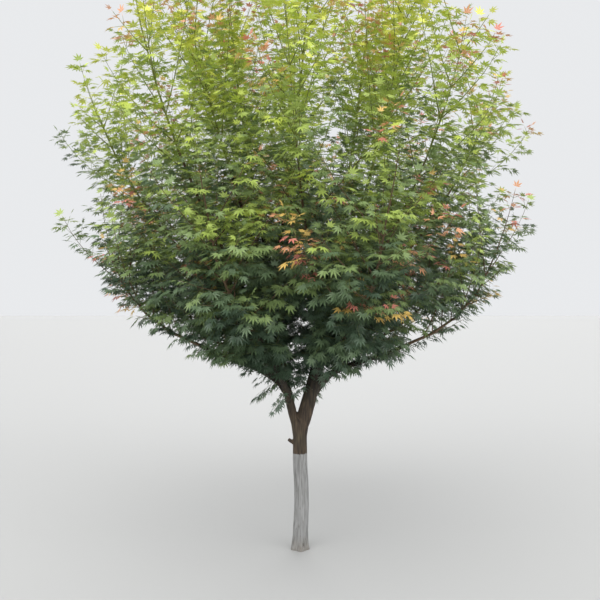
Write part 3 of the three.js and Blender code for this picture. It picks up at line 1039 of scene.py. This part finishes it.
def swelling_skin(bough):
    """The swollen foot of a bough, from inside its parent to inside the bough."""
    steps = SWELLING["steps"]
    share = SWELLING["reach"] * bough["parent_radius"] / path_length(bough["points"])
    points = curve_points(bough["controls"], steps, share)
    widths = np.interp(np.linspace(0, 1, steps + 1), SWELLING["places"], SWELLING["widths"])
    radii = bough["radii"][0] * widths
    radii[0] = min(radii[0], SWELLING["foot_share"] * bough["parent_radius"])
    return closed_tube(f"{bough['name']}_skin", points, radii, SWELLING["sides"])


def stub_skin():
    steps = TRUNK_SKIN["stub_steps"]
    foot, tip = Vector(STUB["foot"]), Vector(STUB["tip"])
    points = [foot.lerp(tip, i / steps) for i in range(steps + 1)]
    radii = np.linspace(*STUB["radii"], steps + 1)
    return closed_tube("stub_skin", points, radii, TRUNK_SKIN["stub_sides"])


def limb_skin(fork):
    points, radii = fine_limb(fork, TRUNK_SKIN["limb_steps"])
    foot = TRUNK_SKIN["limb_foot"]
    radii[: len(foot)] *= foot
    return closed_tube(f"{fork['name']}_skin", points, radii, TRUNK_SKIN["limb_sides"])


def add_trunk(forks, rings):
    parts = [closed_rings("trunk_skin", trunk_rings())]
    parts += [swelling_skin(bough) for bough in rings]
    parts.append(stub_skin())
    parts += [limb_skin(fork) for fork in forks]
    trunk = fused("trunk_and_forks", parts, TRUNK_SKIN["voxel"])
    keep_largest_part(trunk)
    smooth_out(trunk, TRUNK_SKIN["smoothing"])
    raise_bark(trunk)
    cut_at_ground(trunk)
    trunk.data.polygons.foreach_set("use_smooth", np.full(len(trunk.data.polygons), True))
    nodes = ["trunk"] + [f"bough_{fork['name']}" for fork in forks]
    finish_piece(trunk, bark_material("limewashed_bark", coated=True), nodes)


def bough_relief(travelled, shift):
    """Ridged bark round a bough: a height for each ring and side."""
    sides, across = BOUGH_SKIN["sides"], BOUGH_SKIN["across"]
    coarse, fine = BOUGH_SKIN["relief"]
    relief = np.empty((len(travelled), sides))
    for i, distance in enumerate(travelled):
        for s in range(sides):
            turn = 2 * math.pi * s / sides
            x, y = math.cos(turn) * across, math.sin(turn) * across + shift
            place = Vector((x, y, distance * BOUGH_SKIN["along"]))
            finer = noise.noise(place * BOUGH_SKIN["finer"])
            relief[i, s] = coarse * noise.noise(place) + fine * finer
    return relief


def knuckles(travelled, shift):
    """Widths along a bough, as shares, with a knuckle at every old pair of twigs."""
    wave = np.cos(2 * math.pi * travelled / BOUGH_SKIN["knuckle_every"] + shift)
    return 1 + BOUGH_SKIN["knuckle"] * wave ** BOUGH_SKIN["knuckle_sharpness"]


def bough_tube(bough, shift):
    """A bough with knuckles and ridged bark; its open foot lies inside its parent."""
    span = path_length(bough["points"])
    steps = int(span / BOUGH_SKIN["step"])
    points, radii = fine_limb(bough, steps)
    travelled = np.linspace(0, span, steps + 1)
    foot = SWELLING["foot_share"] * bough["parent_radius"]
    radii = np.minimum(radii, foot + BOUGH_SKIN["opening"] * travelled)
    radii = radii * knuckles(travelled, shift)
    relief = bough_relief(travelled, shift)
    return tube_arrays(points, radii[:, None] + relief, BOUGH_SKIN["sides"])


def add_boughs(boughs):
    tubes = [bough_tube(bough, BOUGH_SKIN["unlike"] * i) for i, bough in enumerate(boughs)]
    nodes = [f"bough_{bough['name']}" for bough in boughs]
    material = bark_material("brown_bark", coated=False)
    finish_piece(joined_tubes("boughs", tubes), material, nodes)


# Materials


class Nodes:
    """A new material, with short calls for building its node tree."""

    def __init__(self, name, roughness):
        self.material = bpy.data.materials.new(name)
        self.material.use_nodes = True
        self.tree = self.material.node_tree
        self.shader = self.tree.nodes["Principled BSDF"]
        self.shader.inputs["Roughness"].default_value = roughness

    def link(self, source, target):
        self.tree.links.new(source, target)

    def place(self, stretch):
        """The object's own coordinates, scaled along each axis."""
        source = self.tree.nodes.new("ShaderNodeTexCoord")
        mapping = self.tree.nodes.new("ShaderNodeMapping")
        mapping.inputs["Scale"].default_value = stretch
        self.link(source.outputs["Object"], mapping.inputs["Vector"])
        return mapping.outputs["Vector"]

    def noise(self, pattern):
        stretch, detail = PATTERNS[pattern]
        node = self.tree.nodes.new("ShaderNodeTexNoise")
        node.inputs["Scale"].default_value = 1.0
        node.inputs["Detail"].default_value = detail
        self.link(self.place(stretch), node.inputs["Vector"])
        return node.outputs["Fac"]

    def ramp(self, value, stops, colours):
        node = self.tree.nodes.new("ShaderNodeValToRGB")
        ramp = node.color_ramp
        while len(ramp.elements) < len(stops):
            ramp.elements.new(0.5)
        for element, position, colour in zip(ramp.elements, stops, colours):
            element.position = position
            element.color = srgb(colour)
        self.link(value, node.inputs["Fac"])
        return node.outputs["Color"]

    def math(self, operation, a, b, clamp=False):
        node = self.tree.nodes.new("ShaderNodeMath")
        node.operation = operation
        node.use_clamp = clamp
        for socket, value in zip(node.inputs, (a, b)):
            if isinstance(value, (int, float)):
                socket.default_value = value
            else:
                self.link(value, socket)
        return node.outputs[0]

    def scaled(self, value, factor, offset, clamp=False):
        """The value times the factor, plus the offset."""
        result = self.math("MULTIPLY_ADD", value, factor, clamp)
        result.node.inputs[2].default_value = offset
        return result

    def mix(self, share, a, b):
        node = self.tree.nodes.new("ShaderNodeMix")
        node.data_type = "RGBA"
        self.link(share, node.inputs["Factor"])
        self.link(a, node.inputs["A"])
        self.link(b, node.inputs["B"])
        return node.outputs["Result"]

    def height(self):
        node = self.tree.nodes.new("ShaderNodeSeparateXYZ")
        self.link(self.place((1, 1, 1)), node.inputs[0])
        return node.outputs["Z"]

    def bump(self, value, strength, distance):
        node = self.tree.nodes.new("ShaderNodeBump")
        node.inputs["Strength"].default_value = strength
        node.inputs["Distance"].default_value = distance
        self.link(value, node.inputs["Height"])
        self.link(node.outputs["Normal"], self.shader.inputs["Normal"])


def plain_material(name, colour, roughness):
    nodes = Nodes(name, roughness)
    nodes.shader.inputs["Base Color"].default_value = srgb(colour)
    return nodes.material


def bark_colour(nodes):
    """Brown bark with lengthwise streaks and a little green film, with painted shade from the crown
    darkening it above the fork.
    """
    streaks = nodes.noise("streaks")
    brown = nodes.ramp(streaks, BARK_STOPS, BARK["brown"])
    filmed = nodes.ramp(streaks, BARK_STOPS, BARK["filmed"])
    # painted shade: a darker copy of the bark for the limbs in the crown's shade
    dark = nodes.ramp(streaks, BARK_STOPS, BARK["dark"])
    film = nodes.scaled(nodes.noise("film"), FILM["contrast"], FILM["level"], clamp=True)
    # the share of painted shade, growing from the fork upwards
    above = nodes.scaled(nodes.height(), PAINTED_SHADE_RISE, -PAINTED_SHADE_RISE * FORK_HEIGHT, clamp=True)
    return nodes.mix(above, nodes.mix(film, brown, filmed), dark)


def coat_colour(nodes):
    """Dry limewash, grey in fine lengthwise streaks and stained with soil near the ground; the
    whole coat is also painted darker as shade from the crown.
    """
    # painted shade: the limewash greys are darker than the coat's own white
    white = nodes.ramp(nodes.noise("coat"), COAT["stops"], COAT["white"])
    soil = nodes.ramp(nodes.noise("blotches"), (0.0, 1.0), COAT["soil"])
    low = nodes.scaled(nodes.height(), COAT["dirt_fade"], COAT["dirt_level"])
    dirt = nodes.math("MULTIPLY", low, nodes.noise("dirt"), clamp=True)
    return nodes.mix(dirt, white, soil)


def coat_cover(nodes):
    """Where the limewash is: below its ragged top edge, and not in the cracks."""
    edge = nodes.scaled(nodes.noise("edge"), COAT["ragged"], COAT["top"] - COAT["ragged"] / 2)
    below = nodes.math("SUBTRACT", edge, nodes.height())
    sharp = nodes.math("MULTIPLY", below, COAT["sharpness"])
    cracks = nodes.scaled(
        nodes.noise("cracks"), COAT["crack_contrast"], COAT["crack_level"], clamp=True
    )
    return nodes.math("MULTIPLY", sharp, cracks, clamp=True)


def bark_material(name, coated):
    nodes = Nodes(name, BARK_ROUGHNESS)
    colour = bark_colour(nodes)
    if coated:
        colour = nodes.mix(coat_cover(nodes), colour, coat_colour(nodes))
    nodes.link(colour, nodes.shader.inputs["Base Color"])
    nodes.bump(nodes.noise("grain"), *BUMP["bark"])
    return nodes.material


def twig_material(name, tints):
    """Thin, smoother bark with pale specks."""
    nodes = Nodes(name, TWIG_ROUGHNESS)
    specks = nodes.noise("specks")
    colour = nodes.ramp(specks, TWIG_STOPS, tints)
    nodes.link(colour, nodes.shader.inputs["Base Color"])
    nodes.bump(specks, *BUMP["twigs"])
    return nodes.material


# Assembly


def finish_piece(piece, material, nodes):
    piece.data.materials.append(material)
    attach(piece, "root")
    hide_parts(*nodes)


def build():
    add_camera()
    add_daylight()
    add_floor()
    boughs = grow_boughs()
    forks, rings = boughs[:2], boughs[2:]
    add_trunk(forks, rings)
    add_boughs(rings)
    growth = grow_crown(boughs)
    masses = [f"foliage_{bough['name']}" for bough in boughs]
    add_twigs(growth, masses)
    add_leaves(growth, masses)


build()
